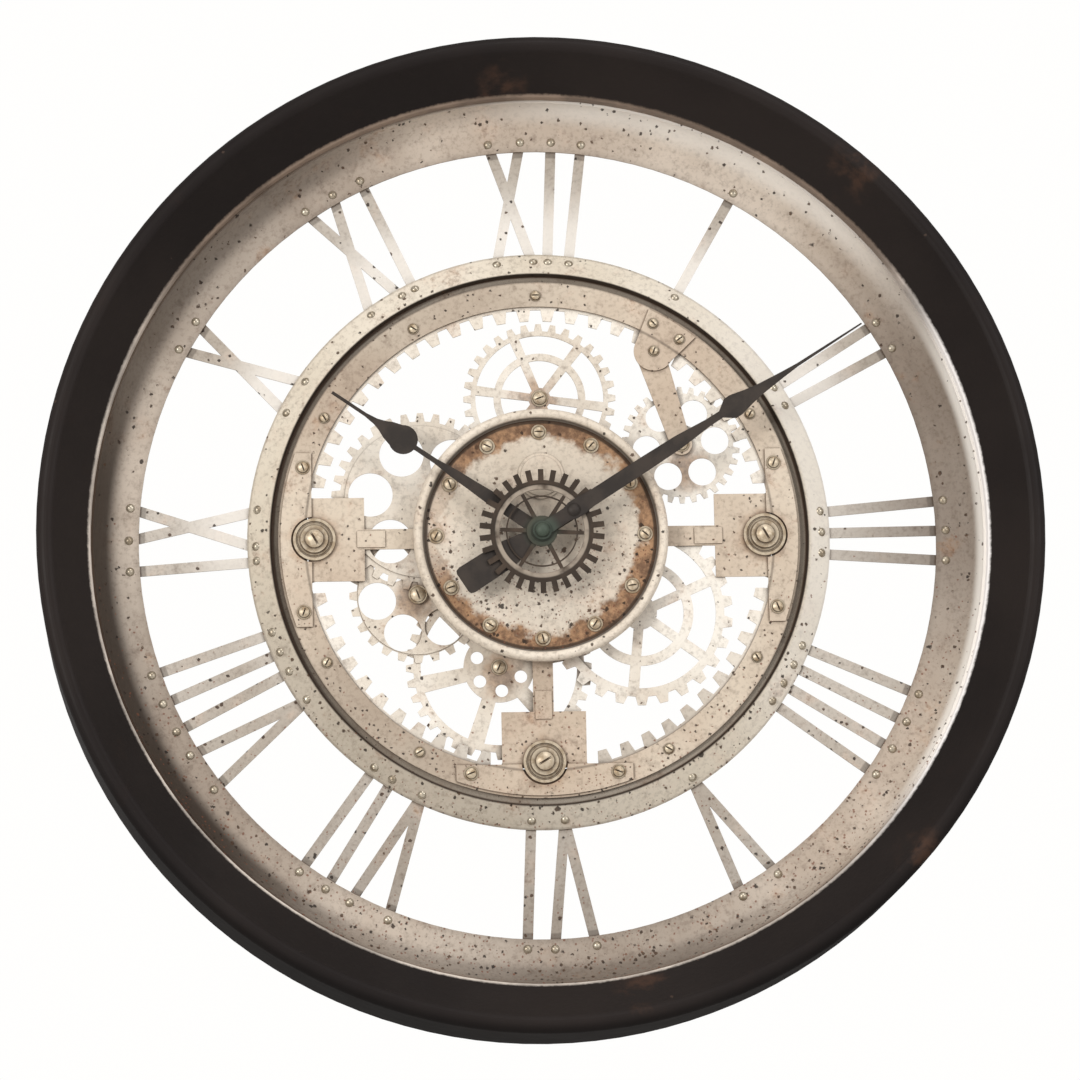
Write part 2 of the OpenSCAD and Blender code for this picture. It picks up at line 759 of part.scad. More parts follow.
module movement_case() {
    half = case_w / 2;
    color(black_plastic) on_wall() difference() {
        case_block(-half, half, case_back, case_front, 0);
        case_block(rib_y + case_wall, half - case_wall, cover_front, inner_front, case_wall);
        case_block(rib_y, half + 1, case_back - 1, cover_front, -1);
        case_block(-half + case_wall, rib_y, case_back - 1, inner_front, case_wall);
        rod(bushing_r, inner_front - 1, case_front + 1);
        minute_wheel_place() rod(0.6 + running_gap, inner_front - 0.5, inner_front + 1);
        intermediate_place() rod(0.5 + running_gap, inner_front - 0.5, inner_front + 1);
        rotor_place() rod(0.4 + running_gap, inner_front - 0.5, inner_front + 1);
    }
}

module movement_cover() {
    color(black_plastic) on_wall() difference() {
        case_block(rib_y, case_w / 2, case_back, cover_front, 0);
        rod(arbor_r + running_gap, case_back + 0.5, cover_front + 1);
        knob_place() rod(1.5 + running_gap, case_back - 1, cover_front + 1);
        intermediate_place() rod(0.5 + running_gap, case_back + 0.4, cover_front + 1);
        rotor_place() rod(0.4 + running_gap, case_back + 0.4, cover_front + 1);
    }
}

module mounting_bushing() {
    color(brass) on_wall() difference() {
        union() {
            rod(6, inner_front - 0.8, inner_front);
            rod(bushing_r, inner_front, pan_z + 7);
        }
        rod(hour_tube_r + running_gap, inner_front - 2, pan_z + 8);
    }
}

module bushing_nut() {
    color(brass) on_wall() difference() {
        translate([0, 0, pan_z]) cylinder(r = 7, h = 2.6, $fn = 6);
        rod(bushing_r, pan_z - 1, pan_z + 4);
    }
}

module rubber_washer() {
    color([0.12, 0.12, 0.12]) on_wall() sheet(case_front, 1) ring2d(11, bushing_r);
}

module battery() {
    color([0.75, 0.72, 0.66]) on_wall() translate([0, cell_y, cell_z]) rotate([0, 90, 0]) {
        translate([0, 0, -24.2]) cylinder(r = cell_r, h = 48);
        translate([0, 0, 23.8]) cylinder(r = 2.7, h = 1.2);
    }
}

module battery_contacts() {
    plate_t = 0.5;
    inside = case_w / 2 - case_wall;
    color(steel) on_wall() {
        translate([inside - plate_t, cell_y - 5, cell_z - 5]) cube([plate_t, 10, 10]);
        translate([25, cell_y, cell_z]) rotate([0, 90, 0]) cylinder(r = 2, h = inside - plate_t - 25);
        translate([-inside, cell_y - 5, cell_z - 5]) cube([plate_t, 10, 10]);
        for (k = [0:2]) translate([-inside + plate_t + 0.6 * k, cell_y, cell_z]) rotate([0, 90, 0])
            cylinder(r = 4.5 - k, h = 0.6);
    }
}

// Where the motion work and the train turn
module minute_wheel_place() { at_clock(motion_dist, minute_wheel_at) children(); }
module knob_place() { minute_wheel_place() at_clock(motion_dist, knob_from_wheel) children(); }
module intermediate_place() { at_clock(train_dist, train_at) children(); }
module rotor_place() { intermediate_place() at_clock(rotor_dist, rotor_from_wheel) children(); }

// Small wheel with pitch radius n * m / 2, from height z0 to z1
module wheel(n, m, z0, z1, phase) {
    translate([0, 0, z0]) linear_extrude(z1 - z0)
        polygon(teeth_pts(n, (n / 2 + 0.75) * m, (n / 2 - 1.15) * m, 0.2, 0.4, phase));
}

// Heights of the wheel planes inside the case
train_z = cover_front + 1;
rotor_z = cover_front + 4;
cannon_z = cover_front + 8;
hour_wheel_z = cannon_z + 2;
motion_m = 0.3125;
hour_m = 0.3;
train_m = 0.25;
rotor_m = 0.2;

module minute_arbor() {
    color(steel) on_wall() {
        rod(arbor_r, case_back + 0.7, minute_hand_z + hand_t + 3.8);
        wheel(12, motion_m, cannon_z, cannon_z + 1.6, minute_wheel_at);
    }
}

module minute_wheel() {
    color(white_plastic) on_wall() minute_wheel_place() {
        rod(0.6, cannon_z - 1, inner_front + 0.8);
        wheel(36, motion_m, cannon_z + 0.3, cannon_z + 1.3, minute_wheel_at + 185);
        wheel(10, hour_m, cannon_z + 1.3, hour_wheel_z + 1.2, minute_wheel_at + 180);
    }
}

module hour_wheel() {
    color(white_plastic) on_wall() difference() {
        union() {
            wheel(40, hour_m, hour_wheel_z, hour_wheel_z + 1, minute_wheel_at + 4.5);
            rod(hour_tube_r, hour_wheel_z, hour_hand_z + hand_t + 0.4);
        }
        rod(arbor_r + running_gap, hour_wheel_z - 1, hour_hand_z + 6);
    }
}

module setting_knob() {
    grip_r = 6.5;
    color(white_plastic) on_wall() knob_place() {
        difference() {
            rod(grip_r, case_back - 3.2, case_back - 0.5);
            for (k = [0:17]) at_clock(grip_r, 20 * k) rod(0.6, case_back - 4, case_back);
        }
        rod(1.5, case_back - 0.5, cannon_z);
        wheel(12, motion_m, cannon_z, cannon_z + 1.6, knob_from_wheel + 180 + 15);
    }
}

module centre_wheel() {
    color(white_plastic) on_wall() difference() {
        union() {
            wheel(64, train_m, train_z, train_z + 1, train_at);
            rod(2.4, train_z, train_z + 2);
        }
        rod(arbor_r + running_gap, train_z - 1, train_z + 3);
    }
}

module intermediate_wheel() {
    color(white_plastic) on_wall() intermediate_place() {
        rod(0.5, case_back + 0.6, inner_front + 0.8);
        wheel(8, train_m, train_z - 0.5, rotor_z, train_at + 180 + 22.5);
        wheel(60, rotor_m, rotor_z, rotor_z + 0.8, rotor_from_wheel);
    }
}

module rotor() {
    color(steel) on_wall() rotor_place() {
        rod(0.4, case_back + 0.6, inner_front + 0.8);
        wheel(8, rotor_m, rotor_z - 0.3, rotor_z + 2, rotor_from_wheel + 180 + 22.5);
        rod(2.4, rotor_z + 2, rotor_z + 4.5);
    }
}

// Iron core round the rotor with its coil
module coil_stator() {
    z = rotor_z + 2.6;
    core_x = -24;
    coil_y = 21;
    rotor_at = clock(train_dist, train_at) + clock(rotor_dist, rotor_from_wheel);
    color([0.65, 0.35, 0.20]) on_wall() {
        difference() {
            sheet(z, 0.8) {
                translate([core_x, rotor_at[1] - 3.2]) square([rotor_at[0] - core_x + 3.5, 6.4]);
                translate([core_x, rotor_at[1] - 3.2]) square([4, 14]);
                translate([core_x, rotor_at[1] + 7]) square([30, 3.8]);
            }
            rotor_place() rod(2.9, z - 1, z + 2);
            intermediate_place() rod(1, z - 1, z + 2);
        }
        translate([core_x + 7, min(rotor_at[1] + 8.9, coil_y), z + 0.8 + 2.4]) rotate([0, 90, 0])
            cylinder(r = 2.4, h = 16);
    }
}

module circuit_board() {
    color([0.10, 0.35, 0.20]) on_wall() {
        sheet(inner_front - 1, 1) translate([8, 12]) square([17, 13]);
        sheet(inner_front - 2.6, 1.6) translate([12, 15]) square([6, 6]);
        translate([22, 22, inner_front - 3.4]) cylinder(r = 1.4, h = 2.4);
    }
}

// ---- Hanging ----

// Plate inside the top of the rim with a keyhole for the wall screw
module hanger_plate() {
    hole_r = 5;
    hole_y = 380;
    slot_w = 5;
    slot_up = 12;
    color(steel) on_wall() sheet(skin) difference() {
        translate([-32, 368]) square([64, 30]);
        translate([0, hole_y]) circle(hole_r);
        translate([-slot_w / 2, hole_y]) square([slot_w, slot_up - slot_w / 2]);
        translate([0, hole_y + slot_up - slot_w / 2]) circle(slot_w / 2);
    }
}

outer_rim();
dial_pan();
chapter_ring();
numeral(1);  // numeral_1
numeral(2);  // numeral_2
numeral(3);  // numeral_3
numeral(4);  // numeral_4
numeral(5);  // numeral_5
numeral(6);  // numeral_6
numeral(7);  // numeral_7
numeral(8);  // numeral_8
numeral(9);  // numeral_9
numeral(10);  // numeral_10
numeral(11);  // numeral_11
numeral(12);  // numeral_12
outer_rivets();
inner_rivets();
frame_ring();
toothed_ring();
frame_screws();
side_plates();
bridge(270);  // left_bridge
bridge(90);  // right_bridge
bridge(180);  // bottom_bridge
pivot_bolts();
tab_plate();
tab_arm();
top_gear();
upper_left_gear();
lower_left_gear();
bottom_gear();
lower_right_gear();
upper_right_gear();
gear_screws();
centre_pan();
centre_bezel();
centre_screws();
boss_plate();
hour_hand();
hub_gear();
minute_hand();
hand_tail();
hand_nut();
movement_case();
movement_cover();
mounting_bushing();
bushing_nut();
rubber_washer();
battery();
battery_contacts();
setting_knob();
circuit_board();
coil_stator();
rotor();
intermediate_wheel();
centre_wheel();
minute_arbor();
hour_wheel();
minute_wheel();
hanger_plate();
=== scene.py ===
"""Looks for the open-dial wall clock: paint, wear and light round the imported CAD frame.

Everything is in metres in the CAD frame: the wall is y = 0, the clock faces -Y and +Z is up.
"""

import math

import bpy
from mathutils import Matrix, Vector

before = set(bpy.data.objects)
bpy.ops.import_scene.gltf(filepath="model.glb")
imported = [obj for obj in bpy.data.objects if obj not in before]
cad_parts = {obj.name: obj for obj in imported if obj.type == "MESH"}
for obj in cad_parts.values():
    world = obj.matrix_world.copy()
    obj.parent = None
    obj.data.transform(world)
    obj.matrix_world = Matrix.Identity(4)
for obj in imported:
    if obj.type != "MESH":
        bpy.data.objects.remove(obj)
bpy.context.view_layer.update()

# Camera: distance from the point it aims at, angles in degrees, width seen there and sensor in mm
CAMERA_DISTANCE = 3.2
CAMERA_BELOW = 9.43
CAMERA_LEFT = 3.15
CAMERA_ROLL = -1.175
AIM = (0.0003, -0.030, -0.0009)
SEEN_WIDTH = 0.8885
SENSOR_WIDTH = 36.0

# Floor, and the white surroundings as they light the clock and as the camera sees them
FLOOR_Z = -1.25
FLOOR_HALF = 14.0
WORLD_LIGHT = 0.46
WORLD_SEEN = 1.0
WORLD_COLOUR = (1.0, 0.995, 0.985, 1.0)

# Disc lights that face the hand axis: name, place, width, watts and colour
LIGHTS = [
    ("key", (-2.5, -3.0, 0.5), 1.3, 76, (1.0, 0.98, 0.95)),
    ("top", (0.4, -2.0, 2.7), 1.6, 32, (1.0, 0.99, 0.98)),
    ("right", (2.6, -3.0, 1.0), 1.6, 44, (0.99, 0.99, 1.0)),
]

# ---- Shader building ----

OCCLUSION_SAMPLES = 8
# A Mix node's sockets for colours: factor, A and B, and the result
MIX_INPUTS = (0, 6, 7)
MIX_OUTPUT = 2


def rgb(red, green, blue):
    """An 8-bit display colour as the linear colour a shader wants."""
    return tuple(
        c / 12.92 if c <= 0.04045 else ((c + 0.055) / 1.055) ** 2.4
        for c in (red / 255, green / 255, blue / 255)
    ) + (1.0,)


class Shader:
    """One procedural material. Its coordinates are the object's own: the CAD frame's, at rest."""

    def __init__(self, name, metallic=0.0, specular=0.5):
        self.material = bpy.data.materials.new(name)
        self.material.use_nodes = True
        self.tree = self.material.node_tree
        self.tree.nodes.clear()
        out = self.tree.nodes.new("ShaderNodeOutputMaterial")
        self.bsdf = self.tree.nodes.new("ShaderNodeBsdfPrincipled")
        self.tree.links.new(self.bsdf.outputs["BSDF"], out.inputs["Surface"])
        self.bsdf.inputs["Metallic"].default_value = metallic
        self.bsdf.inputs["Specular IOR Level"].default_value = specular
        self.position = self.tree.nodes.new("ShaderNodeTexCoord").outputs["Object"]

    def put(self, socket, value):
        """Links value to the socket if it's an output, and sets it there if it's a constant."""
        if isinstance(value, bpy.types.NodeSocket):
            self.tree.links.new(value, socket)
        else:
            socket.default_value = value

    def math(self, operation, a, b=0.0, clamp=False):
        """The result of a Math node's operation on two numbers or outputs."""
        node = self.tree.nodes.new("ShaderNodeMath")
        node.operation, node.use_clamp = operation, clamp
        self.put(node.inputs[0], a)
        self.put(node.inputs[1], b)
        return node.outputs[0]

    def mix(self, factor, a, b):
        """Colour a where factor is 0 and colour b where it is 1."""
        node = self.tree.nodes.new("ShaderNodeMix")
        node.data_type = "RGBA"
        factor_in, colour_a, colour_b = (node.inputs[index] for index in MIX_INPUTS)
        self.put(factor_in, factor)
        self.put(colour_a, a)
        self.put(colour_b, b)
        return node.outputs[MIX_OUTPUT]

    def step(self, value, low, high):
        """0 below low, 1 above high and smooth between; low above high turns it round."""
        node = self.tree.nodes.new("ShaderNodeMapRange")
        node.interpolation_type = "SMOOTHSTEP"
        self.put(node.inputs["Value"], value)
        if low > high:
            low, high = high, low
            node.inputs["To Min"].default_value, node.inputs["To Max"].default_value = 1.0, 0.0
        node.inputs["From Min"].default_value, node.inputs["From Max"].default_value = low, high
        return node.outputs["Result"]

    def noise(self, size, detail=3.0, rough=0.55, seed=0.0):
        """Noise between about 0.2 and 0.8 whose features are size metres across."""
        node = self.tree.nodes.new("ShaderNodeTexNoise")
        node.noise_dimensions = "4D"
        self.put(node.inputs["Vector"], self.position)
        node.inputs["W"].default_value = seed
        node.inputs["Scale"].default_value = 1.0 / size
        node.inputs["Detail"].default_value = detail
        node.inputs["Roughness"].default_value = rough
        return node.outputs["Fac"]

    def specks(self, size, radius, share, seed=0.0):
        """Ragged dots up to about radius metres, in the given share of cells size metres across."""
        node = self.tree.nodes.new("ShaderNodeTexVoronoi")
        node.voronoi_dimensions = "3D"
        mapping = self.tree.nodes.new("ShaderNodeMapping")
        mapping.inputs["Location"].default_value = (seed, 0.37 * seed, 0.71 * seed)
        mapping.inputs["Scale"].default_value = (1.0, 0.5, 1.0)
        self.put(mapping.inputs["Vector"], self.position)
        self.put(node.inputs["Vector"], mapping.outputs[0])
        node.inputs["Scale"].default_value = 1.0 / size
        split = self.tree.nodes.new("ShaderNodeSeparateColor")
        self.put(split.inputs[0], node.outputs["Color"])
        ragged = self.math("MULTIPLY", self.noise(radius * 0.8, 2.0, seed=seed + 3), radius * 1.7)
        reach = self.math("MULTIPLY", split.outputs[1], radius)
        edge = self.math("SUBTRACT", self.math("ADD", reach, ragged), radius * 0.8)
        distance = self.math("MULTIPLY", node.outputs["Distance"], size)
        inside = self.step(self.math("SUBTRACT", edge, distance), 0.0, radius * 0.35)
        return self.math("MULTIPLY", inside, self.math("LESS_THAN", split.outputs[0], share))

    def occlusion(self, distance):
        """1 in the open and less in corners, within distance metres."""
        node = self.tree.nodes.new("ShaderNodeAmbientOcclusion")
        node.samples = OCCLUSION_SAMPLES
        node.inputs["Distance"].default_value = distance
        return node.outputs["AO"]

    def parts(self):
        """The x, y and z of the shaded point."""
        node = self.tree.nodes.new("ShaderNodeSeparateXYZ")
        self.put(node.inputs[0], self.position)
        return node.outputs

    def radius_from(self, x=0.0, z=0.0):
        """Distance in metres from a line along Y through x, z."""
        out = self.parts()
        dx = self.math("SUBTRACT", out[0], x)
        dz = self.math("SUBTRACT", out[2], z)
        squares = self.math("ADD", self.math("MULTIPLY", dx, dx), self.math("MULTIPLY", dz, dz))
        return self.math("SQRT", squares)

    def band(self, inner, outer, soft=0.0008):
        """1 between two radii from the hand axis, with edges soft metres wide."""
        r = self.radius_from()
        rise = self.step(r, inner - soft, inner + soft)
        fall = self.step(r, outer + soft, outer - soft)
        return self.math("MULTIPLY", rise, fall)

    def zones(self, places):
        """The strongest of some soft round patches.

        Each is x, z, the radius where it ends, the radius where it is full, and its strength.
        """
        total = None
        for x, z, reach, full, amount in places:
            patch = self.math("MULTIPLY", self.step(self.radius_from(x, z), reach, full), amount)
            total = patch if total is None else self.math("MAXIMUM", total, patch)
        return total

    def ring(self, inner, outer, soft, amount, zone=()):
        """A band of the given strength, kept to a zone (x, z, ends, full) if there is one."""
        ring = self.math("MULTIPLY", self.band(inner, outer, soft), amount)
        if zone:
            ring = self.math("MULTIPLY", ring, self.zones([(*zone, 1.0)]))
        return ring

    def around(self, places, reach):
        """1 at any of the places (x, z) and 0 beyond reach metres, with an uneven edge."""
        total = None
        wobble = self.math("MULTIPLY", self.math("SUBTRACT", self.noise(0.012, 3.0), 0.5), reach * 1.2)
        for x, z in places:
            spot = self.step(self.math("ADD", self.radius_from(x, z), wobble), reach, reach * 0.25)
            total = spot if total is None else self.math("MAXIMUM", total, spot)
        return total

    def bump(self, height, strength, distance):
        """The normal of a relief that is distance metres high at most."""
        node = self.tree.nodes.new("ShaderNodeBump")
        node.inputs["Strength"].default_value = strength
        node.inputs["Distance"].default_value = distance
        self.put(node.inputs["Height"], height)
        return node.outputs["Normal"]

    def finish(self, colour, roughness, height, strength, distance):
        """Plugs in the colour, roughness and relief, and gives the material."""
        self.put(self.bsdf.inputs["Base Color"], colour)
        self.put(self.bsdf.inputs["Roughness"], roughness)
        self.put(self.bsdf.inputs["Normal"], self.bump(height, strength, distance))
        return self.material


# ---- Paint and metal ----

BLACK_SPECK = rgb(34, 25, 20)
RED_SPECK = rgb(112, 70, 52)
DEEP_BROWN = rgb(76, 54, 38)
RUST = rgb(162, 124, 90)
DARK_RUST = rgb(108, 76, 52)
PAINTED_LIGHT = rgb(236, 231, 224)
PINK_TINT = rgb(212, 190, 172)
SHADOW_TINT = rgb(104, 92, 82)
RING_SHADE = rgb(54, 44, 36)

RIM_DARK, RIM_LIGHT, RIM_BROWN = rgb(28, 23, 22), rgb(37, 31, 29), rgb(40, 31, 27)
RIM_SHADOW, RIM_RUST, RIM_CHIP = rgb(14, 12, 12), rgb(96, 68, 52), rgb(84, 68, 58)
LIP_CREAM, LIP_BROWN, LIP_HIGHLIGHT = rgb(216, 205, 194), rgb(142, 124, 110), rgb(246, 242, 240)
HUB_GREEN, COLLAR_PALE = rgb(74, 88, 76), rgb(166, 153, 138)
HAND_GRIME_AND_SHADE, HAND_CHIP, DUST_AND_SHADE = rgb(34, 28, 25), rgb(110, 96, 82), rgb(60, 52, 44)

# Specks and chips: size of the cells that hold one each, and radius
SMALL_SPECKS, LARGE_SPECKS, TINY_SPECKS = (0.0046, 0.0017), (0.0165, 0.0028), (0.0030, 0.0011)
RIM_CHIPS, HAND_CHIPS = (0.022, 0.0014), (0.009, 0.0010)
# The rim: radii where its cream lip and its side begin and are full, and its rusty places (x, z)
LIP_RADII = (0.3696, 0.3676)
RIM_SIDE_RADII = (0.3970, 0.4060)
RUSTY_PLACES = [(0.295, -0.271), (-0.026, 0.364), (0.260, 0.292), (0.070, -0.372)]
# The pale band on the collar of the spoked gear
COLLAR_BAND = (0.0345, 0.0385)


def worn_paint(
    name,
    base,
    shade,
    stain_share=0.3,
    specks=0.3,
    grime_and_shade_reach=0.006,
    grime_and_shade_amount=0.75,
    edge_stain=None,
    spots=(),
    spot_reach=0.03,
    painted_shade_zones=(),
    painted_shade_rings=(),
    ring_soft=0.0008,
    painted_light_rings=(),
    clean_place=None,
    speck_heights=(0.05, -0.30),
    seed=0.0,
):
    """Matt distressed paint on sheet metal, brown in its corners with grime and painted shade, and speckled
    with rust.

    edge_stain is the radii where rust begins and is full, and clean_place a zone it leaves out.
    spots are rusty places (x, z), and painted_shade_zones are patches of painted shade, zones as
    Shader.zones takes them.
    painted_shade_rings are painted shade lines (inner, outer, strength) and painted_light_rings painted
    light bands (inner, outer, softness, strength), each with a zone after it where it fades out.
    speck_heights are where specks are fewest and most.
    """
    s = Shader(name, specular=0.25)
    broad = s.noise(0.13, 3.0, seed=seed)
    patchy = s.noise(0.030, 5.0, 0.65, seed=seed + 1)
    fine = s.noise(0.0035, 4.0, 0.65, seed=seed + 2)
    blotch = s.noise(0.014, 4.0, 0.7, seed=seed + 4)
    colour = s.mix(s.step(broad, 0.36, 0.64), base, shade)
    colour = s.mix(s.math("MULTIPLY", s.step(patchy, 0.5, 0.72), 0.4), colour, PINK_TINT)
    # Painted shade: patches of shadow colour where the light falls less.
    if painted_shade_zones:
        colour = s.mix(s.zones(painted_shade_zones), colour, SHADOW_TINT)
    worn = s.step(s.math("ADD", patchy, s.math("MULTIPLY", fine, 0.25)), 0.76 - 0.2 * stain_share, 0.92)
    stained = s.math("MULTIPLY", worn, 0.75)
    if edge_stain:
        inner, outer = edge_stain
        uneven = s.math("SUBTRACT", s.noise(0.024, 4.0, 0.65, seed=seed + 5), 0.5)
        wander = s.math("MULTIPLY", uneven, 0.045)
        reach = s.step(s.math("ADD", s.radius_from(), wander), inner, outer)
        if clean_place:
            reach = s.math("SUBTRACT", reach, s.zones([clean_place]), clamp=True)
        stained = s.math("MAXIMUM", stained, s.math("MULTIPLY", reach, 0.95))
    if spots:
        stained = s.math("MAXIMUM", stained, s.math("MULTIPLY", s.around(spots, spot_reach), 0.65))
    grain = s.math("ADD", blotch, s.math("MULTIPLY", fine, 0.3))
    rust = s.mix(s.step(grain, 0.54, 0.76), RUST, DARK_RUST)
    colour = s.mix(stained, colour, rust)
    scuffed = s.math("MULTIPLY", s.step(blotch, 0.54, 0.76), 0.42)
    colour = s.mix(scuffed, colour, DEEP_BROWN)
    colour = s.mix(s.math("MULTIPLY", s.step(fine, 0.45, 0.72), 0.32), colour, DEEP_BROWN)
    # Painted shade: dark lines in grooves, at edges and where the rim shadows the cove.
    for inner, outer, amount, *zone in painted_shade_rings:
        colour = s.mix(s.ring(inner, outer, ring_soft, amount, zone), colour, RING_SHADE)
    # Grime and painted shade: darker in corners and recesses, from occlusion.
    corner_dirt_and_shade = s.step(s.math("ADD", s.occlusion(grime_and_shade_reach), s.math("MULTIPLY", fine, 0.3)), 1.02, 0.55)
    colour = s.mix(s.math("MULTIPLY", corner_dirt_and_shade, grime_and_shade_amount), colour, DEEP_BROWN)
    # Painted light: pale bands where the light falls strongly.
    for inner, outer, soft, amount, *zone in painted_light_rings:
        colour = s.mix(s.ring(inner, outer, soft, amount, zone), colour, PAINTED_LIGHT)
    lower = s.step(s.parts()[2], *speck_heights)
    share = s.math("MULTIPLY", s.math("ADD", 0.35, s.math("MULTIPLY", lower, 0.65)), specks)
    small = s.specks(*SMALL_SPECKS, share, seed)
    large = s.specks(*LARGE_SPECKS, s.math("MULTIPLY", share, 0.5), seed + 0.5)
    tiny = s.specks(*TINY_SPECKS, s.math("MULTIPLY", lower, specks * 0.7), seed + 0.8)
    colour = s.mix(s.math("MULTIPLY", tiny, 0.75), colour, RED_SPECK)
    dots = s.math("MAXIMUM", small, large)
    dot_colour = s.mix(s.step(blotch, 0.45, 0.6), BLACK_SPECK, DEEP_BROWN)
    colour = s.mix(s.math("MULTIPLY", dots, 0.9), colour, dot_colour)
    rough = s.math("ADD", 0.55, s.math("MULTIPLY", patchy, 0.25))
    height = s.math("SUBTRACT", s.math("MULTIPLY", fine, 0.6), s.math("MULTIPLY", dots, 0.8))
    return s.finish(colour, rough, height, 0.45, 0.0004)


def rim_paint():
    """Near-black paint, with painted shade on its lower side and a cream lip that has a painted white
    highlight at the right and is brown at the top.
    """
    s = Shader("rim_paint", specular=0.12)
    broad = s.noise(0.2, 3.0)
    patchy = s.noise(0.03, 5.0, 0.65, seed=1)
    fine = s.noise(0.0035, 4.0, 0.6, seed=2)
    colour = s.mix(s.step(broad, 0.35, 0.65), RIM_DARK, RIM_LIGHT)
    colour = s.mix(s.math("MULTIPLY", s.step(patchy, 0.55, 0.8), 0.45), colour, RIM_BROWN)
    # Painted shade: the lower side of the rim is darkened towards RIM_SHADOW.
    lower = s.step(s.parts()[2], -0.10, -0.32)
    side = s.math("MULTIPLY", s.step(s.radius_from(), *RIM_SIDE_RADII), lower)
    colour = s.mix(s.math("MULTIPLY", side, 0.6), colour, RIM_SHADOW)
    rusted = s.math("MULTIPLY", s.around(RUSTY_PLACES, 0.026), s.step(patchy, 0.42, 0.62))
    colour = s.mix(s.math("MULTIPLY", rusted, 0.36), colour, RIM_RUST)
    chips = s.specks(*RIM_CHIPS, 0.25, 4.0)
    colour = s.mix(s.math("MULTIPLY", chips, 0.5), colour, RIM_CHIP)
    lip = s.step(s.math("ADD", s.radius_from(), s.math("MULTIPLY", fine, 0.002)), *LIP_RADII)
    worn = s.step(s.noise(0.05, 4.0, seed=6), 0.42, 0.6)
    rubbed = s.math("ADD", 0.6, s.math("MULTIPLY", worn, 0.4))
    lip_colour = s.mix(s.step(s.parts()[2], 0.12, 0.26), LIP_CREAM, LIP_BROWN)
    # Painted highlight: the lip is painted near white at the right, where light falls on it.
    right = s.math("MULTIPLY", s.step(s.parts()[0], 0.20, 0.33), s.step(s.parts()[2], 0.24, 0.14))
    lip_colour = s.mix(right, lip_colour, LIP_HIGHLIGHT)
    colour = s.mix(s.math("MULTIPLY", lip, s.math("MAXIMUM", rubbed, right)), colour, lip_colour)
    rough = s.math("ADD", 0.38, s.math("MULTIPLY", patchy, 0.3))
    rough = s.math("ADD", rough, s.math("MULTIPLY", side, 0.35), clamp=True)
    return s.finish(colour, rough, s.math("ADD", fine, s.math("MULTIPLY", patchy, 0.8)), 0.35, 0.0005)


def hand_paint(name, dark, light, pale_band=0.0):
    """Dark bronze paint, greenish at the hub, with a broken pale band on the gear's collar."""
    s = Shader(name, metallic=0.2, specular=0.35)
    patchy = s.noise(0.02, 4.0, 0.6)
    fine = s.noise(0.0025, 4.0, 0.6, seed=2)
    colour = s.mix(s.step(patchy, 0.4, 0.65), dark, light)
    hub = s.step(s.radius_from(), 0.018, 0.006)
    colour = s.mix(s.math("MULTIPLY", hub, 0.7), colour, HUB_GREEN)
    if pale_band:
        gaps = s.step(s.noise(0.016, 3.0, seed=3), 0.32, 0.58)
        broken = s.math("MULTIPLY", s.band(*COLLAR_BAND), gaps)
        colour = s.mix(s.math("MULTIPLY", broken, pale_band), colour, COLLAR_PALE)
    # Grime and painted shade: darker in corners, from occlusion.
    corner_dirt_and_shade = s.step(s.occlusion(0.003), 0.95, 0.5)
    colour = s.mix(s.math("MULTIPLY", corner_dirt_and_shade, 0.6), colour, HAND_GRIME_AND_SHADE)
    chips = s.specks(*HAND_CHIPS, 0.2, 2.0)
    colour = s.mix(s.math("MULTIPLY", chips, 0.5), colour, HAND_CHIP)
    rough = s.math("ADD", 0.4, s.math("MULTIPLY", patchy, 0.3))
    return s.finish(colour, rough, s.math("ADD", fine, patchy), 0.35, 0.0003)


def metal(
    name, bright, dull, dirt_and_shade, dirt_and_shade_reach, rough_low, rough_high, metallic=0.85, open_above=0.98
):
    """Bare metal with a dull film, and grime and painted shade in its corners."""
    s = Shader(name, metallic=metallic)
    patchy = s.noise(0.006, 4.0, 0.6)
    fine = s.noise(0.0008, 3.0, 0.6, seed=1)
    colour = s.mix(s.step(patchy, 0.4, 0.65), bright, dull)
    # Grime and painted shade: darker in corners, from occlusion.
    corner_dirt_and_shade = s.step(s.occlusion(dirt_and_shade_reach), open_above, 0.5)
    colour = s.mix(s.math("MULTIPLY", corner_dirt_and_shade, 0.9), colour, dirt_and_shade)
    rough = s.math("ADD", rough_low, s.math("MULTIPLY", patchy, rough_high - rough_low))
    return s.finish(colour, rough, s.math("ADD", fine, patchy), 0.3, 0.0001)


def plastic(name, colour_a, colour_b, rough, specular=0.5):
    """Moulded plastic or rubber with a fine grain, and a little dust and painted shade in its corners."""
    s = Shader(name, specular=specular)
    patchy = s.noise(0.012, 4.0, 0.6)
    fine = s.noise(0.0009, 2.0, 0.5, seed=1)
    colour = s.mix(s.step(patchy, 0.38, 0.68), colour_a, colour_b)
    # Dust and painted shade: darker in corners, from occlusion.
    corner_dirt_and_shade = s.step(s.occlusion(0.003), 0.95, 0.5)
    colour = s.mix(s.math("MULTIPLY", corner_dirt_and_shade, 0.3), colour, DUST_AND_SHADE)
    rough_out = s.math("ADD", rough, s.math("MULTIPLY", patchy, 0.15))
    return s.finish(colour, rough_out, fine, 0.3, 0.0001)


def dress(material, *nodes):
    """Gives the material to CAD nodes."""
    for node in nodes:
        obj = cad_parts[node]
        obj.data.materials.clear()
        obj.data.materials.append(material)


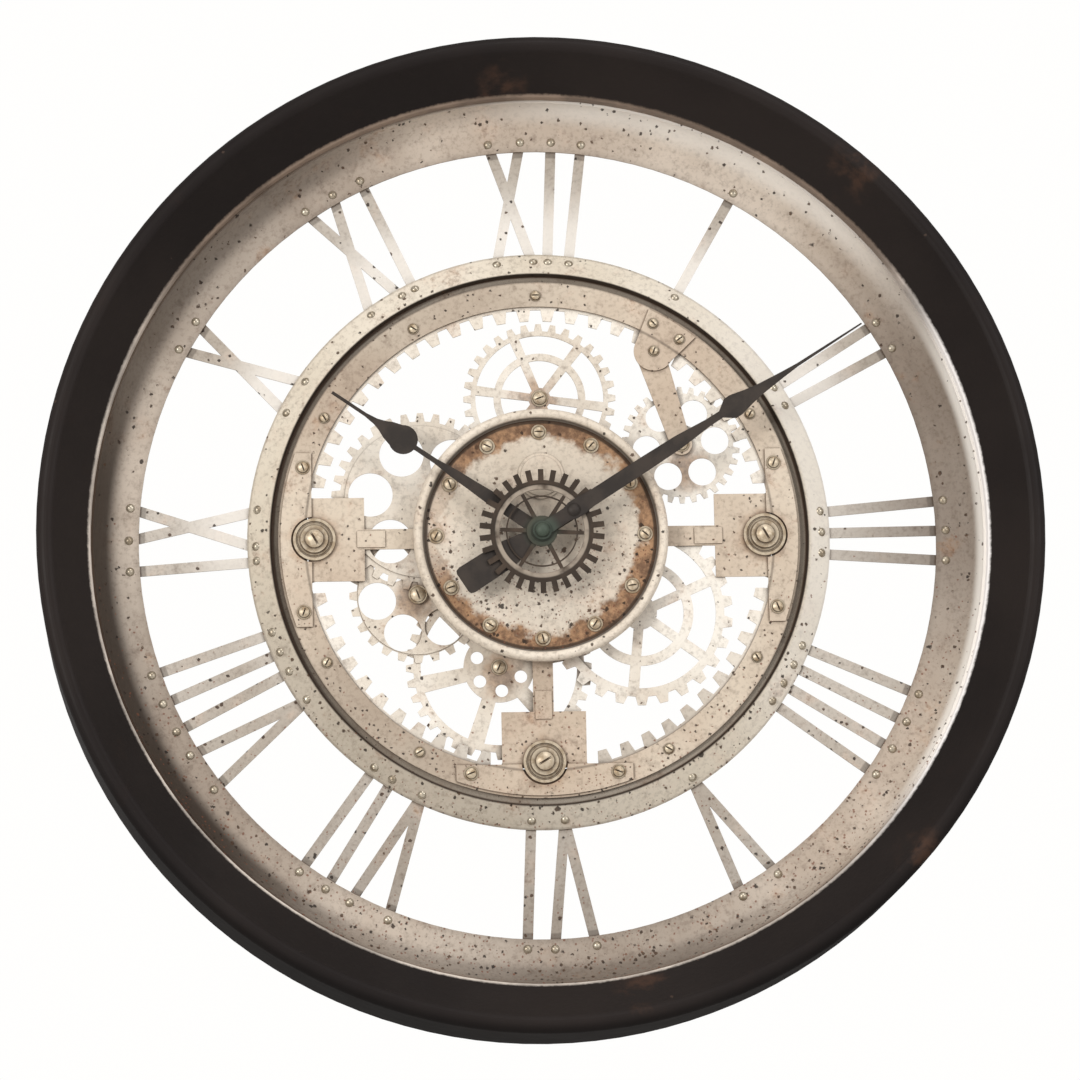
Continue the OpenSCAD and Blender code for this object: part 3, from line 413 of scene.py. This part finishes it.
# Bolts and screws with rust round them (x, z)
BIG_BOLTS = [(-0.185, 0.0), (0.185, 0.0), (0.0, -0.185)]
GEAR_BOLTS = [(-0.001, 0.118), (-0.104, -0.051), (-0.033, -0.114), (0.122, 0.057)]
SCREW_CIRCLE = 0.0855
LEFT_SCREWS = [
    (SCREW_CIRCLE * math.cos(math.radians(angle)), SCREW_CIRCLE * math.sin(math.radians(angle)))
    for angle in (150, 180, 210)
]
# Zones of the front that keep painted shade or painted light: x, z, the radius where they end and the
# radius where they are full
UPPER_GROOVE = (0.0, 0.25, 0.47, 0.37)
LEFT_GROOVE = (-0.20, 0.05, 0.24, 0.12)
LEFT_COVE = (-0.40, -0.12, 0.44, 0.16)
LOWER_COVE = (0.04, -0.37, 0.26, 0.08)
RIGHT_COVE = (0.39, -0.03, 0.27, 0.15)
TOP_COVE = (0.16, 0.34, 0.26, 0.10)
UPPER_LEFT_COVE = (-0.28, 0.28, 0.22, 0.06)
RIGHT_CHAPTER = (0.26, 0.04, 0.28, 0.08)
UPPER_BARS = (-0.05, 0.25, 0.42, 0.30)
# Rings that get painted shade or painted light: inner and outer radius
UNDER_LIP = (0.3610, 0.3800)
UPPER_UNDER_LIP = (0.3560, 0.3800)
COVE = (0.3500, 0.372)
WINDOW_EDGE = (0.3262, 0.3292)
GROOVE_FLOOR = (0.2130, 0.2212)
GROOVE_SHADOW = (0.2178, 0.2200)
GROOVE_CORNER = (0.2192, 0.2216)
FRAME_OUTER_EDGE = (0.2138, 0.2150)
FRAME_INNER_EDGE = (0.1915, 0.1935)
CHAPTER_OUTER_EDGE = (0.2385, 0.2410)
CHAPTER_FACE = (0.2230, 0.2450)
BAR_ENDS = (0.3235, 0.3450)
BAR_INNER_PARTS = (0.225, 0.285)
PAN_CORNER = (0.0926, 0.0960)
BEZEL_INNER_EDGE = (0.0935, 0.0970)
BEZEL_OUTER_EDGE = (0.1048, 0.1070)
# Centre pan: radii where its rusty edge begins and is full, the place that stays clean, and the
# shade under the spoked gear
PAN_RUST = (0.0765, 0.0845)
PAN_CLEAN_PLACE = (-0.098, 0.012, 0.062, 0.02, 0.75)
HUB_SHADE = (0.0, 0.0, 0.044, 0.036, 0.12)

dress(rim_paint(), "outer_rim")
# The dial: painted shade on its right, bottom, lower left and upper left, the rim's shadow painted on the
# cove, a painted shade line at the window edge, and painted light under the lip at the right and top.
dress(
    worn_paint(
        "dial_paint", rgb(204, 191, 177), rgb(182, 167, 152), stain_share=0.35, specks=1.1,
        grime_and_shade_reach=0.005, ring_soft=0.006, seed=1,
        painted_shade_zones=[
            (0.36, 0.06, 0.26, 0.06, 0.75), (0.05, -0.38, 0.24, 0.05, 0.4),
            (-0.30, -0.18, 0.26, 0.06, 0.4), (-0.26, 0.27, 0.24, 0.05, 0.45),
        ],
        painted_shade_rings=[
            (*COVE, 0.95, *LEFT_COVE), (*COVE, 0.45, *UPPER_LEFT_COVE), (*COVE, 0.5, *LOWER_COVE),
            (*WINDOW_EDGE, 0.45),
        ],
        painted_light_rings=[(*UNDER_LIP, 0.003, 1.0, *RIGHT_COVE), (*UPPER_UNDER_LIP, 0.008, 0.75, *TOP_COVE)],
    ),
    "dial_pan",
)
# The chapter ring: painted shade at its lower left, painted shadow in the groove and at its outer edge, and
# painted light on the right of its face.
dress(
    worn_paint(
        "chapter_paint", rgb(219, 209, 193), rgb(207, 196, 178), specks=0.8, seed=7,
        painted_shade_zones=[(-0.14, -0.26, 0.34, 0.08, 0.35)],
        painted_shade_rings=[
            (*GROOVE_FLOOR, 0.45, *UPPER_GROOVE), (*GROOVE_SHADOW, 0.9, *LEFT_GROOVE),
            (*GROOVE_CORNER, 1.0), (*CHAPTER_OUTER_EDGE, 0.3),
        ],
        painted_light_rings=[(*CHAPTER_FACE, 0.002, 0.5, *RIGHT_CHAPTER)],
    ),
    "chapter_ring",
)
# The frame: painted shade at the upper and lower left and painted shade lines at its edges; rust round the
# big bolts.
dress(
    worn_paint(
        "frame_paint", rgb(206, 192, 174), rgb(188, 170, 151), stain_share=0.45, specks=0.7,
        grime_and_shade_amount=0.85, spots=BIG_BOLTS, spot_reach=0.028, seed=11,
        painted_shade_zones=[(-0.10, 0.19, 0.20, 0.05, 0.3), (-0.13, -0.15, 0.12, 0.04, 0.35)],
        painted_shade_rings=[(*FRAME_OUTER_EDGE, 0.5, *UPPER_GROOVE), (*FRAME_INNER_EDGE, 0.5)],
    ),
    "frame_ring", "side_plates", "left_bridge", "right_bridge", "bottom_bridge", "tab_plate", "tab_arm",
)
# The toothed ring: painted shade towards the bottom.
dress(
    worn_paint(
        "tooth_paint", rgb(232, 225, 214), rgb(216, 206, 192), grime_and_shade_reach=0.010, seed=13,
        painted_shade_zones=[(0.03, -0.20, 0.20, 0.08, 0.35)],
    ),
    "toothed_ring",
)
dress(
    worn_paint(
        "gear_paint", rgb(232, 226, 216), rgb(208, 197, 182), specks=0.35, grime_and_shade_reach=0.010,
        spots=GEAR_BOLTS, spot_reach=0.026, seed=17,
    ),
    "top_gear", "upper_left_gear", "lower_left_gear", "bottom_gear", "lower_right_gear", "upper_right_gear",
)
# The numerals: painted shade on the right, bottom and lower left, painted shadow at their outer ends, and
# painted light on their inner parts at the top.
dress(
    worn_paint(
        "bar_paint", rgb(190, 182, 172), rgb(170, 160, 148), stain_share=0.15, specks=0.45, seed=23,
        painted_shade_zones=[
            (0.42, 0.02, 0.24, 0.07, 0.75), (0.06, -0.42, 0.28, 0.08, 0.4),
            (-0.15, -0.38, 0.25, 0.07, 0.35),
        ],
        painted_shade_rings=[(*BAR_ENDS, 0.45)], painted_light_rings=[(*BAR_INNER_PARTS, 0.025, 0.6, *UPPER_BARS)],
    ),
    *[f"numeral_{hour}" for hour in range(1, 13)],
)
# The centre pan: painted shade under the spoked gear and in its corner by the bezel; a rusty edge.
dress(
    worn_paint(
        "pan_paint", rgb(214, 203, 188), rgb(198, 185, 168), stain_share=0.25, specks=1.0,
        grime_and_shade_reach=0.008, spots=LEFT_SCREWS, spot_reach=0.010, speck_heights=(0.05, -0.04), seed=31,
        edge_stain=PAN_RUST, clean_place=PAN_CLEAN_PLACE, painted_shade_zones=[HUB_SHADE],
        painted_shade_rings=[(*PAN_CORNER, 0.85)],
    ),
    "centre_pan",
)
# The bezel: painted shade lines at its inner and outer edges.
dress(
    worn_paint(
        "bezel_paint", rgb(228, 217, 202), rgb(210, 197, 180), specks=0.35, seed=37,
        painted_shade_rings=[(*BEZEL_INNER_EDGE, 0.85), (*BEZEL_OUTER_EDGE, 0.7)],
    ),
    "centre_bezel",
)
dress(
    worn_paint("boss_paint", rgb(216, 204, 188), rgb(198, 184, 166), specks=0.4, seed=41), "boss_plate"
)
dress(
    hand_paint("hand_bronze", rgb(44, 38, 34), rgb(58, 50, 44)),
    "hour_hand", "minute_hand", "hand_tail", "hand_nut",
)
dress(hand_paint("gear_bronze", rgb(50, 40, 31), rgb(68, 55, 44), pale_band=0.85), "hub_gear")
dress(
    metal(
        "aged_steel", rgb(194, 184, 166), rgb(148, 134, 114), rgb(36, 27, 20), 0.0045, 0.2, 0.5,
        metallic=0.65, open_above=1.04,
    ),
    "outer_rivets", "inner_rivets",
)
dress(
    metal(
        "screw_metal", rgb(204, 189, 165), rgb(158, 136, 108), rgb(48, 33, 22), 0.0035, 0.3, 0.6,
        metallic=0.5, open_above=1.02,
    ),
    "frame_screws", "gear_screws", "centre_screws",
)
dress(
    metal(
        "bolt_metal", rgb(206, 191, 168), rgb(168, 149, 124), rgb(74, 56, 40), 0.0040, 0.3, 0.6,
        metallic=0.5, open_above=1.04,
    ),
    "pivot_bolts",
)
dress(
    metal("plain_steel", rgb(190, 190, 188), rgb(160, 158, 154), rgb(80, 72, 64), 0.003, 0.25, 0.5),
    "hanger_plate", "battery_contacts", "rotor", "minute_arbor",
)
dress(
    metal(
        "turned_brass", rgb(206, 170, 98), rgb(172, 132, 70), rgb(80, 58, 30), 0.002, 0.25, 0.5,
        metallic=0.95,
    ),
    "mounting_bushing", "bushing_nut",
)
dress(
    metal(
        "coil_copper", rgb(178, 104, 66), rgb(140, 76, 46), rgb(60, 34, 22), 0.002, 0.3, 0.5,
        metallic=0.9,
    ),
    "coil_stator",
)
dress(plastic("case_plastic", rgb(34, 34, 36), rgb(46, 45, 46), 0.5), "movement_case", "movement_cover")
dress(
    plastic("wheel_plastic", rgb(226, 224, 214), rgb(208, 204, 192), 0.4),
    "setting_knob", "intermediate_wheel", "centre_wheel", "hour_wheel", "minute_wheel",
)
dress(plastic("washer_rubber", rgb(30, 30, 30), rgb(44, 43, 42), 0.75, specular=0.3), "rubber_washer")
dress(plastic("board_green", rgb(40, 92, 60), rgb(52, 106, 70), 0.45), "circuit_board")
dress(plastic("cell_wrap", rgb(150, 146, 138), rgb(132, 128, 120), 0.3), "battery")

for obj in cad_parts.values():
    obj.data.polygons.foreach_set("use_smooth", [True] * len(obj.data.polygons))

# ---- Floor, light and camera ----


def level_square(name, half, z):
    """A flat square at height z, half metres from its middle to its sides."""
    mesh = bpy.data.meshes.new(name)
    corners = [(-half, -half, z), (half, -half, z), (half, half, z), (-half, half, z)]
    mesh.from_pydata(corners, [], [(0, 1, 2, 3)])
    obj = bpy.data.objects.new(name, mesh)
    bpy.context.scene.collection.objects.link(obj)
    return obj


def floor_paint():
    """Plain pale paint."""
    s = Shader("pale_floor", specular=0.2)
    colour = s.mix(s.noise(0.6, 2.0), rgb(236, 234, 231), rgb(242, 240, 237))
    return s.finish(colour, 0.85, s.noise(0.01, 2.0, seed=1), 0.05, 0.0005)


floor = level_square("floor", FLOOR_HALF, FLOOR_Z)
floor.data.materials.append(floor_paint())


def area_light(name, place, size, power, colour):
    """A round light that faces the hand axis."""
    light = bpy.data.lights.new(name, "AREA")
    light.shape, light.size = "DISK", size
    light.energy, light.color = power, colour
    obj = bpy.data.objects.new(name, light)
    bpy.context.scene.collection.objects.link(obj)
    obj.location = place
    obj.rotation_mode = "QUATERNION"
    obj.rotation_quaternion = (-Vector(place)).to_track_quat("-Z", "Y")


for light_settings in LIGHTS:
    area_light(*light_settings)


def studio_world():
    """White surroundings that look brighter to the camera than they light the clock."""
    world = bpy.data.worlds.new("studio")
    world.use_nodes = True
    nodes, links = world.node_tree.nodes, world.node_tree.links
    nodes.clear()
    path = nodes.new("ShaderNodeLightPath")
    strength = nodes.new("ShaderNodeMapRange")
    strength.inputs["To Min"].default_value = WORLD_LIGHT
    strength.inputs["To Max"].default_value = WORLD_SEEN
    background = nodes.new("ShaderNodeBackground")
    background.inputs["Color"].default_value = WORLD_COLOUR
    out = nodes.new("ShaderNodeOutputWorld")
    links.new(path.outputs["Is Camera Ray"], strength.inputs["Value"])
    links.new(strength.outputs["Result"], background.inputs["Strength"])
    links.new(background.outputs["Background"], out.inputs["Surface"])
    return world


bpy.context.scene.world = studio_world()
bpy.context.scene.view_settings.view_transform = "Standard"
bpy.context.scene.view_settings.look = "None"


def photo_camera():
    """Camera below and a little to the left of the dial, looking up at its middle."""
    up, left, roll = (math.radians(a) for a in (CAMERA_BELOW, CAMERA_LEFT, CAMERA_ROLL))
    ahead = Vector((math.sin(left) * math.cos(up), math.cos(left) * math.cos(up), math.sin(up)))
    side = ahead.cross(Vector((0, 0, 1))).normalized()
    top = side.cross(ahead)
    right = side * math.cos(roll) + top * math.sin(roll)
    above = top * math.cos(roll) - side * math.sin(roll)
    camera = bpy.data.cameras.new("camera")
    camera.sensor_width = SENSOR_WIDTH
    camera.lens = SENSOR_WIDTH * CAMERA_DISTANCE / SEEN_WIDTH
    obj = bpy.data.objects.new("camera", camera)
    bpy.context.scene.collection.objects.link(obj)
    place = Vector(AIM) - ahead * CAMERA_DISTANCE
    obj.matrix_world = Matrix.Translation(place) @ Matrix((right, above, -ahead)).transposed().to_4x4()
    return obj


bpy.context.scene.camera = photo_camera()
